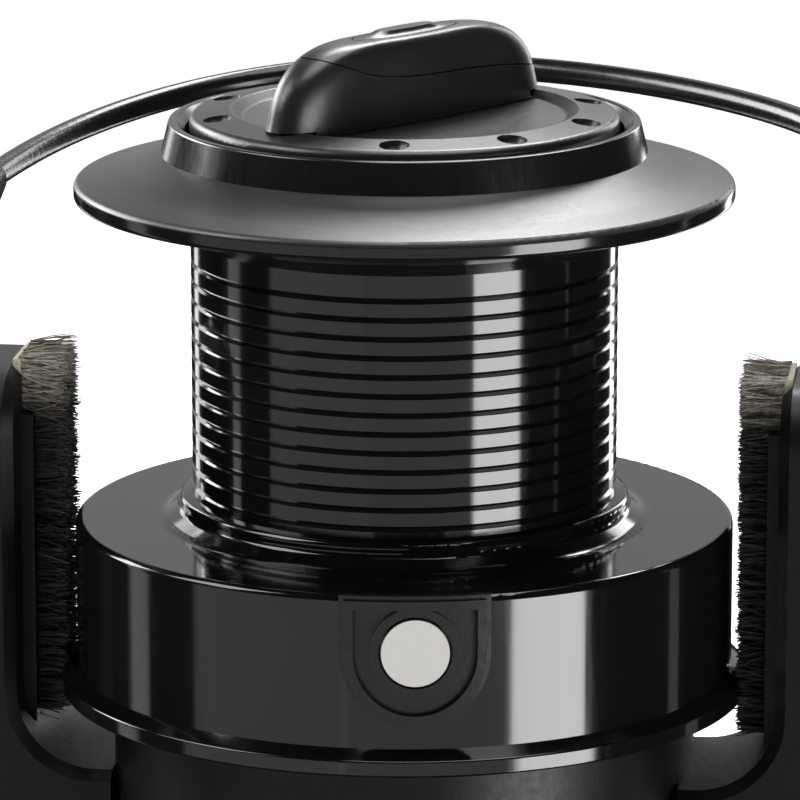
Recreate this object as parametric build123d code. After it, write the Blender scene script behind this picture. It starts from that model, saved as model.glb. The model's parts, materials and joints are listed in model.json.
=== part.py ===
"""Fixed-spool fishing reel: front drag, skirted long-cast spool, worm-shaft line lay, screw-in handle.

Millimetres. The drawing frame has +Z along the spool's axis and z = 0 at the gearbox's front face.
Every piece is drawn there and moved at export, so that the origin of the written files is the middle of
the foot's seat face, with +Y pointing at the rod and +Z towards the rod's tip.
The rotor and all that it carries are drawn with the arms on the X axis, then turned by ROTOR_ANGLE.
"""
from build123d import *
import os
from math import atan2, cos, degrees, hypot, pi, radians, sin, sqrt, tan

LOW = (Align.CENTER, Align.CENTER, Align.MIN)

# ---- clearances ---------------------------------------------------------------------------------
RUN_FIT = 0.05        # a shaft in its own bore, on the radius
SEAT_FIT = 0.02       # a bearing or a bush in its seat, on the radius
BODY_GAP = 0.4        # between pieces that pass each other
FACE_GAP = 0.05       # between flat faces that slide on each other

# ---- spool --------------------------------------------------------------------------------------
SHAFT_R = 3.0
STROKE = 18.0         # how far the spool travels along the shaft's axis
SPOOL_FOOT_Z = 23.8   # the flange's lower face, with the spool drawn back
FLANGE_R = 39.5       # the wider ring at the skirt's foot
FLANGE_HEIGHT = 1.8
FLANGE_SHOULDER = 1.0
SKIRT_R = 37.7
SKIRT_HEIGHT = 17.2
SKIRT_WALL = 1.6
SKIRT_EDGE = 0.8      # rounding of the skirt's top edge
DRUM_R = 24.3
DRUM_LENGTH = 32.7    # from the skirt's top face to the lip
DRUM_WALL = 2.0
BEAD_R = 25.7         # the bead at the drum's foot
BEAD_HEIGHT = 2.2
BEAD_FLARE = 2.0      # the bead runs out into the skirt's top face over this width
SPIGOT = 0.6          # the drum's foot is this much smaller, where the skirt is pressed on
GROOVE_COUNT = 13
GROOVE_PITCH = 2.15
GROOVE_DEPTH = 0.4
GROOVE_WIDTH = 0.7
GROOVE_START = 4.1    # first groove above the skirt's top face
LIP_R = 37.5
LIP_RISE = 4.4        # the lip's lower face climbs this much from the drum to the rim
LIP_EDGE = 1.9
LIP_CONE_RISE = 3.25
LIP_CONE_DIP = 0.35   # how far the cone is hollowed
COLLAR_FOOT_R = 27.6
COLLAR_TOP_R = 26.7
COLLAR_HEIGHT = 3.65
COLLAR_EDGE = 0.8
HUB_WALL = 2.5
WEB_THICKNESS = 3.0

# ---- drag ---------------------------------------------------------------------------------------
DISC_R = 24.35
DISC_ABOVE_COLLAR = 1.05
DISC_THICKNESS = 8.5
DISC_RIM_WIDTH = 4.7  # the sloping ring that carries the dimples
DISC_RIM_LOW = 0.45   # the ring's outer edge under the disc's level
DISC_RIM_HIGH = 0.2   # its inner edge above it
DISH_DEPTH = 0.7
DISC_EDGE = 0.9
DIMPLE_COUNT = 10
DIMPLE_CIRCLE_R = 21.8
DIMPLE_R = 1.7
DIMPLE_DEPTH = 1.3
DIMPLE_START = 15.0
KNOB_GAP = 0.55       # between the knob's disc and the lip
GRIP_ANGLE = 47.5
GRIP_LENGTH = 44.0
GRIP_WIDTH = 8.4
GRIP_HEIGHT = 9.5     # above the disc
GRIP_FOOT = 0.35      # the thin foot round the grip
GRIP_SEAM_GAP = 0.14
BADGE_LENGTH = 17.0
BADGE_WIDTH = 4.4
BADGE_GROOVE = 0.2
WASHER_THICKNESS = 1.2
WASHER_PAIRS = 3
WASHER_R = 19.0
PLATE_R = 17.0
PLATE_THICKNESS = 2.5
DRAG_NUT_ACROSS = 10.0
DRAG_NUT_HEIGHT = 5.0
DRAG_SPRING_R = 8.0
DRAG_SPRING_WIRE = 0.7
SHAFT_FLAT = 2.3      # from the shaft's axis to each flat of its keyed stretch

# ---- line clip ----------------------------------------------------------------------------------
CLIP_ANGLE = -88.3
CLIP_WIDTH = 16.6
CLIP_HEIGHT = 14.9
CLIP_STANDS_OUT = 1.5
CLIP_STEP = 0.5       # the clip's edge is stepped back this much
CLIP_ABOVE_SKIRT = 0.3
CLIP_RIM = 1.5
CLIP_DISH = 0.8       # depth inside the rim
CLIP_BUTTON_R = 3.75
CLIP_BUTTON_Z = 6.0   # the button's centre under the skirt's top face

# ---- rotor --------------------------------------------------------------------------------------
ROTOR_ANGLE = -7.0
CUP_R = 33.5
CUP_WALL = 2.0
CUP_GAP = 1.7         # from the cup's rim to the skirt's ceiling, with the spool drawn back
ROTOR_FOOT_Z = 1.0
ROTOR_FLOOR_Z = 10.0
ROTOR_FLOOR = 3.0
ARM_GAP = 4.0         # from the spool's flange to an arm
ARM_THICKNESS = 9.0
ARM_WIDTH = 24.0
ARM_FOOT_Z = 3.0
ARM_CROTCH_Z = 15.0   # floor of the space between cup and arm
ARM_CROTCH_R = 9.0
ARM_ABOVE_PIVOT = 7.0
ARM_OUTER_R = 14.0
ARM_CORNER_R = 7.0
BRUSH_WIDTH = 9.0
BRUSH_FOOT_Z = 20.4
BRUSH_ABOVE_ARM = 0.6
BRUSH_DEPTH_IN_ARM = 1.1
BACKING = 0.9
RIB = 1.5             # the ribs beside the brush stand this far off the arm
RIB_WIDTH = 1.6
RIB_UNDER_TOP = 5.5
COVER_THICKNESS = 1.6
COVER_RECESS = 4.2

# ---- bail ---------------------------------------------------------------------------------------
PIVOT_Z = 54.0
BAIL_PLATE = 3.4
BAIL_PLATE_R = 7.5
PIVOT_SCREW_R = 2.2
WIRE_R = 1.5
WIRE_REACH = 70.0     # how far the wire's middle stands behind the pivots
WIRE_SKEW = 0.31
WIRE_SIDE_Z = 80.6
WIRE_APEX_Z = 83.7
WIRE_TILT = 3.2
WIRE_CONE_TURN = 0.2  # how much of the loop the cone takes, in radians
ROLLER_R = 4.0
ROLLER_LENGTH = 7.0
ROLLER_BORE_R = 2.0
CONE_R = 4.4

EAR = 3.0

# ---- gears --------------------------------------------------------------------------------------
MODULE = 1.0
PINION_TEETH = 10
WORM_TEETH = 16
DRIVE_TEETH = 43
ADDENDUM = 0.75
DEDENDUM = 1.1
TOOTH_HALF = 0.64     # half a tooth's thickness on the pitch line
FACE_TOOTH_HALF = 0.5
FACE_WIDTH = 4.0
FACE_ENGAGEMENT = 0.55
MESH_Z = -10.0
WORM_ANGLE = 115.0
AXLE_R = 4.0
AXLE_GAP = 1.5        # between the drive axle and the main shaft
GEAR_DISC = 3.0
GEAR_HUB_R = 6.5
WORM_R = 3.5
WORM_GEAR_WIDTH = 4.0

# ---- gearbox ------------------------------------------------------------------------------------
CASE_HALF = 17.0
CASE_WALL = 2.2
CASE_EDGE = 2.0
COVER_EDGE = 1.4
CASE_GAP = 1.9        # between the drive gear's edge and the case
COVER = 2.5
FRONT_R = 31.5
FRONT_DEPTH = 22.0
BEARING_R = 7.0
BEARING_WIDTH = 3.5
BEARING_WALL = 2.0
NOSE_R = 15.5
NOSE_HEIGHT = 9.0
NOSE_WALL = 2.5
SLEEVE_WALL = 3.0
CLUTCH_ROLLER_R = 1.1
CLUTCH_ROLLERS = 6
SLIDER_HEIGHT = 8.0
SLIDER_WALL = 1.6
GUIDE_R = 1.5
GUIDE_X = -8.6
GUIDE_Y = -0.8
TAIL_GAP = 1.8        # under the slider
SCREW_R = 1.3
SCREW_HEAD_R = 2.6
LEVER_X = -7.0
LEVER_Z = -18.0
LEVER_THICKNESS = 4.0
LEVER_SWING = 25.0
LEVER_STANDS_OUT = 7.0

# ---- foot ---------------------------------------------------------------------------------------
SEAT_Y = 84.0         # from the spool's axis to the seat face
FOOT_LENGTH = 78.0
FOOT_WIDTH = 18.0
FOOT_THICKNESS = 5.0
FOOT_TIP = 2.2
FOOT_CENTRE_Z = -40.0
FOOT_CORNER_R = 6.0
STEM_WIDTH = 11.0
STEM_LENGTH = 22.0    # along the foot
STEM_ROOT = 42.0      # along the case

# ---- handle -------------------------------------------------------------------------------------
HANDLE_LENGTH = 80.0
HANDLE_BAR = 7.0
HANDLE_BAR_WIDTH = 9.0
HANDLE_CLEAR = 9.0    # between the handle and whatever the rotor swings past it
HANDLE_HUB_R = 6.0
HANDLE_STUB = 10.0    # from the side cover's collar to the bar's axis
KNOB_R = 14.0
KNOB_NECK_R = 9.0
KNOB_LENGTH = 34.0
SPINDLE_R = 3.0

# ---- places worked out from the sizes above -----------------------------------------------------
FLANGE_TOP_Z = SPOOL_FOOT_Z + FLANGE_HEIGHT
SKIRT_FOOT_Z = FLANGE_TOP_Z + FLANGE_SHOULDER
SKIRT_TOP_Z = SKIRT_FOOT_Z + SKIRT_HEIGHT
SKIRT_CEILING_Z = SKIRT_TOP_Z - SKIRT_WALL
BEAD_TOP_Z = SKIRT_TOP_Z + BEAD_HEIGHT + 0.8
SPIGOT_R = DRUM_R - SPIGOT
LIP_Z = SKIRT_TOP_Z + DRUM_LENGTH
LIP_RIM_Z = LIP_Z + LIP_RISE
COLLAR_Z = LIP_RIM_Z + LIP_EDGE + LIP_CONE_RISE
COLLAR_TOP_Z = COLLAR_Z + COLLAR_HEIGHT
DISC_TOP_Z = COLLAR_TOP_Z + DISC_ABOVE_COLLAR
DISC_LOW_Z = DISC_TOP_Z - DISC_THICKNESS
WELL_R = DISC_R + KNOB_GAP
SHELF_Z = DISC_LOW_Z - 1.7
CHAMBER_R = WASHER_R + BODY_GAP
STACK = 2 * WASHER_PAIRS * (WASHER_THICKNESS + FACE_GAP)
CHAMBER_Z = LIP_Z - STACK - 3.0
PLATE_Z = CHAMBER_Z + STACK + FACE_GAP
SHAFT_TOP_Z = DISC_TOP_Z - 2.5
HUB_R = BEARING_R + HUB_WALL
CUP_TOP_Z = SKIRT_CEILING_Z - CUP_GAP
ARM_IN = FLANGE_R + ARM_GAP
ARM_OUT = ARM_IN + ARM_THICKNESS
ARM_TOP_Z = PIVOT_Z + ARM_ABOVE_PIVOT
BAIL_IN = ARM_OUT + BODY_GAP
BAIL_OUT = BAIL_IN + BAIL_PLATE
PINION_R = MODULE * PINION_TEETH / 2
WORM_GEAR_R = MODULE * WORM_TEETH / 2
MESH_R = MODULE * DRIVE_TEETH / 2
AXLE_Y = -(SHAFT_R + AXLE_R + AXLE_GAP)
AXLE_Z = MESH_Z - MESH_R
TOOTH_TIP_X = PINION_R - FACE_ENGAGEMENT
TOOTH_ROOT_X = PINION_R + ADDENDUM + 0.3
GEAR_BACK_X = TOOTH_ROOT_X + GEAR_DISC
GEAR_R = hypot(MESH_R + FACE_WIDTH / 2, AXLE_Y) + 0.4
WORM_X = (PINION_R + WORM_GEAR_R) * cos(radians(WORM_ANGLE))
WORM_Y = (PINION_R + WORM_GEAR_R) * sin(radians(WORM_ANGLE))
CASE_R = GEAR_R + CASE_GAP + CASE_WALL
COVER_X = CASE_HALF - COVER
PINION_TOP_Z = MESH_Z + FACE_WIDTH / 2 + 1.0
PINION_LOW_Z = MESH_Z - FACE_WIDTH / 2 - WORM_GEAR_WIDTH - 2.5
WORM_GEAR_Z = PINION_LOW_Z + 0.5
JOURNAL_R = PINION_R - 0.4
SLIDER_TOP_Z = WORM_GEAR_Z - 6.0
SLIDER_Z = SLIDER_TOP_Z - STROKE - SLIDER_HEIGHT
TAIL_Z = min(SLIDER_Z - TAIL_GAP - CASE_WALL, AXLE_Z - CASE_R)
TAIL_LOW_Y = AXLE_Y
SLIDER_X = (WORM_X - WORM_R - BODY_GAP - SLIDER_WALL, TOOTH_TIP_X - 0.25)
SLIDER_Y = (AXLE_Y + AXLE_R + 0.6, WORM_Y + WORM_R + BODY_GAP + SLIDER_WALL)
TAIL_TOP_Y = SLIDER_Y[1] + 10.0
BEARING_X = COVER_X - BEARING_WIDTH + 0.4
COLLAR_X = CASE_HALF + 3.0
HANDLE_X = COLLAR_X + HANDLE_STUB
HANDLE_OUT_X = BAIL_OUT + HANDLE_CLEAR + HANDLE_BAR / 2
HANDLE_BEND = MESH_R + ARM_CROTCH_Z + ARM_OUTER_R + 2.0
KNOB_Z = AXLE_Z - HANDLE_LENGTH
KNOB_X = HANDLE_OUT_X + HANDLE_BAR / 2 + BODY_GAP


def lathe(points, rounds=()):
    """A solid of revolution about Z from (radius, z) points; rounds holds (point's number, radius)."""
    face = make_face(Polyline(*points, close=True))
    for number, radius in rounds:
        corner = face.vertices().sort_by_distance((*points[number], 0))[0]
        face = fillet(corner, radius)
    return revolve(Plane.XZ * face, Axis.Z)


def tube(outer, inner, low, high):
    """A ring about Z between two heights."""
    return lathe([(inner, low), (outer, low), (outer, high), (inner, high)])


def disc(radius, low, high):
    """A solid cylinder about Z between two heights."""
    return Pos(0, 0, low) * Cylinder(radius, high - low, align=LOW)


def across(radius, x_from, x_to, y=0.0, z=0.0):
    """A solid cylinder parallel to X."""
    return Pos(x_from, y, z) * Rot(0, 90, 0) * Cylinder(radius, x_to - x_from, align=LOW)


def block(x, y, z):
    """A box between three pairs of limits."""
    size = [pair[1] - pair[0] for pair in (x, y, z)]
    middle = [(pair[1] + pair[0]) / 2 for pair in (x, y, z)]
    return Pos(*middle) * Box(*size)


def side_prism(sketch, x_from, x_to):
    """A sketch whose axes are Y and Z, thickened along X."""
    return extrude(Plane.YZ.offset(x_from) * sketch, x_to - x_from)


def rectangle(y, z):
    """A rectangle between two pairs of limits, as a sketch."""
    return Pos((y[0] + y[1]) / 2, (z[0] + z[1]) / 2) * Rectangle(y[1] - y[0], z[1] - z[0])


# ---- gears --------------------------------------------------------------------------------------
def gear_sketch(teeth, phase):
    """A spur gear's outline, with one tooth centred on the angle phase, in degrees."""
    pitch_r = MODULE * teeth / 2
    points = []
    for tooth in range(teeth):
        middle = radians(phase + 360 * tooth / teeth)
        for radius, side in ((-DEDENDUM, -1), (ADDENDUM, -1), (ADDENDUM, 1), (-DEDENDUM, 1)):
            half = TOOTH_HALF - radius * tan(radians(20))
            angle = middle + side * half / (pitch_r + radius)
            points.append(((pitch_r + radius) * cos(angle), (pitch_r + radius) * sin(angle)))
    return make_face(Polyline(*points, close=True))


def pinion_phase():
    """The pinion has a gap facing the drive gear, which is on its +X side."""
    return 180 / PINION_TEETH


def pinion():
    """Hollow pinion: teeth, a plain journal, a keyed seat for the rotor and a thread for its nut."""
    teeth = extrude(Pos(0, 0, PINION_LOW_Z) * gear_sketch(PINION_TEETH, pinion_phase()),
                    PINION_TOP_Z - PINION_LOW_Z)
    journal = disc(JOURNAL_R, PINION_TOP_Z, ROTOR_FLOOR_Z)
    seat = disc(JOURNAL_R, ROTOR_FLOOR_Z, ROTOR_FLOOR_Z + ROTOR_FLOOR)
    seat &= Box(2 * JOURNAL_R, 2 * (JOURNAL_R - 0.6), 100)
    thread = disc(JOURNAL_R - 0.6, ROTOR_FLOOR_Z + ROTOR_FLOOR, ROTOR_FLOOR_Z + ROTOR_FLOOR + 6.0)
    return teeth + journal + seat + thread - disc(SHAFT_R + RUN_FIT, PINION_LOW_Z - 1, SPOOL_FOOT_Z)


def face_tooth():
    """One tooth of the drive gear, drawn where it meets the pinion."""
    root = TOOTH_ROOT_X + 0.2
    profile = Polyline(
        (TOOTH_TIP_X, -FACE_TOOTH_HALF + 0.2), (root, -FACE_TOOTH_HALF - 0.2),
        (root, FACE_TOOTH_HALF + 0.2), (TOOTH_TIP_X, FACE_TOOTH_HALF - 0.2), close=True)
    return extrude(Pos(0, 0, MESH_Z - FACE_WIDTH / 2) * make_face(profile), FACE_WIDTH)


def about_axle(shape, angle):
    """A shape turned about the drive axle."""
    return Pos(0, AXLE_Y, AXLE_Z) * Rot(angle, 0, 0) * Pos(0, -AXLE_Y, -AXLE_Z) * shape


def drive_gear():
    """Face gear on the drive axle."""
    wheel = across(GEAR_R, TOOTH_ROOT_X, GEAR_BACK_X, AXLE_Y, AXLE_Z)
    wheel += across(GEAR_HUB_R, TOOTH_ROOT_X, BEARING_X - 0.2, AXLE_Y, AXLE_Z)
    hollow_r = MESH_R - 6.0
    hollow = across(hollow_r, TOOTH_ROOT_X - 1, TOOTH_ROOT_X + 1.2, AXLE_Y, AXLE_Z)
    hollow -= across(GEAR_HUB_R, TOOTH_ROOT_X - 2, TOOTH_ROOT_X + 2, AXLE_Y, AXLE_Z)
    wheel -= hollow
    step = 360 / DRIVE_TEETH
    wheel += [about_axle(face_tooth(), step * tooth) for tooth in range(DRIVE_TEETH)]
    for hole in range(6):
        wheel -= about_axle(across(2.2, 0, CASE_HALF, AXLE_Y, AXLE_Z + hollow_r - 4.0), 60 * hole)
    return wheel - across(AXLE_R, 0, CASE_HALF, AXLE_Y, AXLE_Z)


def drive_shaft():
    """Hollow axle that the drive gear is pressed on."""
    outside = across(AXLE_R, -COVER_X - BEARING_WIDTH / 2 + 2.0, COLLAR_X - 0.5, AXLE_Y, AXLE_Z)
    return outside - across(AXLE_R - 1.4, -CASE_HALF, COLLAR_X, AXLE_Y, AXLE_Z)


def worm_phase():
    """Angle of one tooth of the worm's gear that meshes with the pinion's teeth at rest."""
    step = 360 / PINION_TEETH
    ahead = (pinion_phase() - WORM_ANGLE + step / 2) % step - step / 2
    gap = WORM_ANGLE + 180 - ahead * PINION_TEETH / WORM_TEETH
    return gap + 180 / WORM_TEETH


def worm_shaft():
    """Line-lay worm with crossing grooves, and the gear that drives it."""
    top = -CASE_WALL - 1.5
    worm = disc(WORM_R, TAIL_Z + CASE_WALL + 0.5, WORM_GEAR_Z + WORM_GEAR_WIDTH + 0.4)
    worm += disc(WORM_R - 1.0, TAIL_Z + 0.6, top)
    turns = 5
    rise = (STROKE + 4.0) / turns
    cutter = tube(WORM_R + 1.0, WORM_R - 0.7, -0.5, 0.5)
    for turn in range(turns + 1):
        height = SLIDER_Z + SLIDER_HEIGHT / 2 - 2.0 + rise * turn
        for lean in (-30, 30):
            worm -= Pos(0, 0, height) * Rot(lean, 0, 0) * cutter
    gear = extrude(Pos(0, 0, WORM_GEAR_Z) * gear_sketch(WORM_TEETH, worm_phase()), WORM_GEAR_WIDTH)
    return Pos(WORM_X, WORM_Y, 0) * (worm + gear)


# ---- gearbox ------------------------------------------------------------------------------------
def case_sketch(inset):
    """The case's outline seen along X, drawn in by an inset."""
    shape = Pos(AXLE_Y, AXLE_Z) * Circle(CASE_R - inset)
    shape += rectangle((-FRONT_R + inset, FRONT_R - inset), (-FRONT_DEPTH + inset, -inset))
    shape += rectangle((TAIL_LOW_Y + inset, TAIL_TOP_Y - inset), (TAIL_Z + inset, -CASE_WALL - inset))
    return shape


def cover_screw_places():
    """Where the side cover's screws stand, as (y, z)."""
    edge = CASE_WALL + SCREW_HEAD_R
    return [
        (FRONT_R - edge, -CASE_WALL - edge),
        (-FRONT_R + edge - 1.0, -CASE_WALL - edge + 1.0),
        (TAIL_TOP_Y - edge + 1.0, TAIL_Z + edge - 1.0),
    ]


def stem():
    """The leg between the case and the foot."""
    middle = FOOT_CENTRE_Z
    low_y = TAIL_TOP_Y - 6.0
    top_y = SEAT_Y - FOOT_THICKNESS / 2
    front = middle + STEM_LENGTH / 2
    back = middle - STEM_LENGTH / 2
    root_front = -CASE_WALL - 2.0
    root_back = root_front - STEM_ROOT
    bow = (top_y - low_y) * 0.45
    outline = Spline((low_y, root_front), (low_y + bow, (root_front + front) / 2 - 5.0), (top_y, front))
    outline += Line((top_y, front), (top_y, back))
    outline += Spline((top_y, back), (low_y + bow, (root_back + back) / 2 + 3.5), (low_y, root_back))
    outline += Line((low_y, root_back), (low_y, root_front))
    leg = side_prism(make_face(outline), -STEM_WIDTH / 2, STEM_WIDTH / 2)
    return fillet(leg.edges().filter_by(GeomType.BSPLINE), 2.5)


def foot():
    """The reel's foot, flat on its seat side and thinner at both ends."""
    half = FOOT_LENGTH / 2
    low = SEAT_Y - FOOT_THICKNESS
    tip = SEAT_Y - FOOT_TIP
    outline = Polyline(
        (SEAT_Y, FOOT_CENTRE_Z - half), (SEAT_Y, FOOT_CENTRE_Z + half), (tip, FOOT_CENTRE_Z + half),
        (low, FOOT_CENTRE_Z + half * 0.4), (low, FOOT_CENTRE_Z - half * 0.4),
        (tip, FOOT_CENTRE_Z - half), close=True)
    plate = side_prism(make_face(outline), -FOOT_WIDTH / 2, FOOT_WIDTH / 2)
    return fillet(plate.edges().filter_by(Axis.Y), FOOT_CORNER_R)


def bearing_seat(x_from, x_to):
    """A boss that holds a drive bearing, solid until it is bored."""
    return across(BEARING_R + BEARING_WALL, x_from, x_to, AXLE_Y, AXLE_Z)


def lever_slot():
    """The slot in the case that the anti-reverse lever swings in."""
    half = LEVER_THICKNESS / 2 + BODY_GAP
    reach = CASE_R + LEVER_STANDS_OUT
    width = reach * sin(radians(LEVER_SWING)) * 0.62
    return block((LEVER_X - width * 0.35, LEVER_X + width), (AXLE_Y - CASE_R - 2, lever_pivot_y() - 1.0),
                 (LEVER_Z - half, LEVER_Z + half))


def lever_pivot_y():
    """The lever's pivot stands just inside the case's lower wall."""
    wall = AXLE_Y - sqrt(CASE_R ** 2 - (LEVER_Z - AXLE_Z) ** 2)
    return wall + CASE_WALL + 5.5


def housing():
    """Gearbox with its nose, the leg and the foot, open on the side that the cover closes."""
    shell = side_prism(case_sketch(0), -CASE_HALF, COVER_X)
    shell = fillet(shell.faces().sort_by(Axis.X)[0].edges(), CASE_EDGE)
    shell -= side_prism(case_sketch(CASE_WALL), -CASE_HALF + CASE_WALL, COVER_X)
    inner_x = -CASE_HALF + CASE_WALL
    shell += bearing_seat(-CASE_HALF, inner_x + BEARING_WIDTH)
    seat_low = PINION_TOP_Z + 0.8
    shell += disc(BEARING_R + BEARING_WALL, seat_low, -CASE_WALL / 2)
    shell += disc(NOSE_R, 0, NOSE_HEIGHT) - disc(NOSE_R - NOSE_WALL, 0, NOSE_HEIGHT)
    bush_r = WORM_R + 1.6
    bush = disc(bush_r, -CASE_WALL - 6.0, -CASE_WALL / 2) + disc(bush_r, TAIL_Z + 0.5, TAIL_Z + CASE_WALL)
    shell += Pos(WORM_X, WORM_Y, 0) * bush
    for y, z in cover_screw_places():
        shell += across(SCREW_R + 1.8, inner_x - 1, COVER_X, y, z)
    shell += stem() + foot()
    shell -= across(BEARING_R + SEAT_FIT, inner_x, inner_x + BEARING_WIDTH + 1, AXLE_Y, AXLE_Z)
    shell -= across(AXLE_R + 1.0, -CASE_HALF - 1, inner_x + 1, AXLE_Y, AXLE_Z)
    shell -= disc(BEARING_R + SEAT_FIT, seat_low - 1, -CASE_WALL - 0.2)
    shell -= disc(JOURNAL_R + 0.6, seat_low - 1, 1)
    seat = disc(WORM_R + SEAT_FIT, -CASE_WALL - 7.0, -CASE_WALL - 1.0)
    seat += disc(WORM_R - 1.0 + 0.5, TAIL_Z + 0.4, TAIL_Z + CASE_WALL + 1)
    shell -= Pos(WORM_X, WORM_Y, 0) * seat
    shell -= Pos(GUIDE_X, GUIDE_Y, 0) * disc(GUIDE_R + SEAT_FIT, TAIL_Z + 0.8, -CASE_WALL)
    for y, z in cover_screw_places():
        shell -= across(SCREW_R + SEAT_FIT, COVER_X - 7.0, CASE_HALF, y, z)
    shell -= block((-6, 6), (TAIL_LOW_Y + 8, TAIL_LOW_Y + 16), (TAIL_Z - 1, TAIL_Z + 0.01))
    shell -= lever_slot()
    return shell


def side_cover():
    """Plate that closes the gearbox, with the second drive bearing's seat."""
    plate = side_prism(case_sketch(0), COVER_X + FACE_GAP, CASE_HALF)
    plate = fillet(plate.faces().sort_by(Axis.X)[-1].edges(), COVER_EDGE)
    plate += bearing_seat(BEARING_X, CASE_HALF)
    plate += across(BEARING_R + BEARING_WALL - 0.5, CASE_HALF - 1, COLLAR_X, AXLE_Y, AXLE_Z)
    plate -= across(BEARING_R + SEAT_FIT, BEARING_X - 1, BEARING_X + BEARING_WIDTH + 0.1, AXLE_Y, AXLE_Z)
    plate -= across(AXLE_R + 1.0, 0, COLLAR_X + 1, AXLE_Y, AXLE_Z)
    for y, z in cover_screw_places():
        plate -= across(SCREW_R + 0.2, 0, CASE_HALF + 1, y, z)
        plate -= across(SCREW_HEAD_R + 0.2, CASE_HALF - 1.4, CASE_HALF + 1, y, z)
    return plate


def case_screws():
    """The side cover's three screws and the rear cap's one."""
    screws = []
    for y, z in cover_screw_places():
        screw = across(SCREW_R, COVER_X - 6.5, CASE_HALF - 1, y, z)
        screw += across(SCREW_HEAD_R, CASE_HALF - 1.35, CASE_HALF - 0.1, y, z)
        screw -= block((CASE_HALF - 0.8, CASE_HALF), (y - 0.4, y + 0.4), (z - 2, z + 2))
        screws.append(screw)
    return Compound(screws)


def drive_bearings():
    """The two ball races that carry the drive axle."""
    left_x = -CASE_HALF + CASE_WALL
    rings = []
    for x in (left_x, BEARING_X):
        ring = across(BEARING_R, x, x + BEARING_WIDTH, AXLE_Y, AXLE_Z)
        rings.append(ring - across(AXLE_R + RUN_FIT, x - 1, x + BEARING_WIDTH + 1, AXLE_Y, AXLE_Z))
    return Compound(rings)


def pinion_bearing():
    """The ball race that carries the pinion in the case's front wall."""
    low = PINION_TOP_Z + 0.9
    return tube(BEARING_R, JOURNAL_R + RUN_FIT, low, -CASE_WALL - 0.25)


def worm_bushes():
    """Plain bush for the worm's front journal."""
    low = -CASE_WALL - 5.8
    return Pos(WORM_X, WORM_Y, 0) * tube(WORM_R, WORM_R - 1.0 + RUN_FIT, low, -CASE_WALL - 1.1)


def guide_rod():
    """Rod that keeps the slider from turning."""
    return Pos(GUIDE_X, GUIDE_Y, 0) * disc(GUIDE_R, TAIL_Z + 0.9, -CASE_WALL - 0.4)


def clutch_ring():
    """Outer ring of the one-way clutch, with a pocket for each roller."""
    ring = tube(NOSE_R - NOSE_WALL - SEAT_FIT, clutch_inner_r() + 0.5, 0.2, NOSE_HEIGHT - 0.5)
    for place in range(CLUTCH_ROLLERS):
        ring -= clutch_place(place) * disc(CLUTCH_ROLLER_R + 0.1, 0, NOSE_HEIGHT)
    return ring


def clutch_inner_r():
    """Outer radius of the clutch's turning sleeve."""
    return JOURNAL_R + SLEEVE_WALL


def clutch_place(index):
    """Where one of the clutch's rollers stands."""
    return Rot(0, 0, 360 * index / CLUTCH_ROLLERS) * Pos(clutch_inner_r() + CLUTCH_ROLLER_R + RUN_FIT, 0, 0)


def clutch_rollers():
    """The one-way clutch's rollers."""
    roller = disc(CLUTCH_ROLLER_R, 0.6, NOSE_HEIGHT - 1)
    return Compound([clutch_place(i) * roller for i in range(CLUTCH_ROLLERS)])


def clutch_sleeve():
    """The clutch's turning sleeve, tight on the pinion."""
    return tube(clutch_inner_r(), JOURNAL_R, 0.3, ROTOR_FLOOR_Z - 0.05)


def rear_cap():
    """Cap on the tail of the case."""
    cap = block((-CASE_HALF, CASE_HALF), (TAIL_LOW_Y, TAIL_TOP_Y), (TAIL_Z - 3.0, TAIL_Z - FACE_GAP))
    cap = fillet(cap.faces().sort_by(Axis.Z)[0].edges(), 2.0)
    key = block((-5.6, 5.6), (TAIL_LOW_Y + 8.4, TAIL_LOW_Y + 15.6), (TAIL_Z - 1, TAIL_Z))
    return cap + key


def port_cap():
    """Screw cap over the drive axle's far end."""
    cap = across(AXLE_R + 4.0, -CASE_HALF - 3.0, -CASE_HALF - FACE_GAP, AXLE_Y, AXLE_Z)
    cap = fillet(cap.faces().sort_by(Axis.X)[0].edges(), 1.2)
    return cap + across(AXLE_R + 0.7, -CASE_HALF - 1, -CASE_HALF + CASE_WALL - 0.5, AXLE_Y, AXLE_Z)


def anti_reverse_lever():
    """Small lever under the case that lets the rotor turn back."""
    y = lever_pivot_y()
    half = LEVER_THICKNESS / 2
    reach = AXLE_Y - CASE_R - LEVER_STANDS_OUT
    stalk = block((LEVER_X - 1.5, LEVER_X + 1.5), (reach + 3.0, y), (LEVER_Z - half, LEVER_Z + half))
    pad = Pos(LEVER_X, reach + 3.0, LEVER_Z - half) * Cylinder(3.0, LEVER_THICKNESS, align=LOW)
    hub = Pos(LEVER_X, y, LEVER_Z - half) * Cylinder(2.8, LEVER_THICKNESS, align=LOW)
    spindle = Pos(LEVER_X, y, LEVER_Z) * Cylinder(1.6, 6.0, align=LOW)
    return stalk + pad + hub + spindle


# ---- handle -------------------------------------------------------------------------------------
def handle_shaft():
    """Screw-in shaft of the handle, inside the hollow drive axle."""
    shaft = across(AXLE_R - 1.4 - RUN_FIT, -CASE_HALF + 6.0, COLLAR_X + 1, AXLE_Y, AXLE_Z)
    hub_end = HANDLE_X - HANDLE_BAR / 2 - FACE_GAP
    return shaft + across(HANDLE_HUB_R, COLLAR_X + BODY_GAP, hub_end, AXLE_Y, AXLE_Z)


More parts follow.
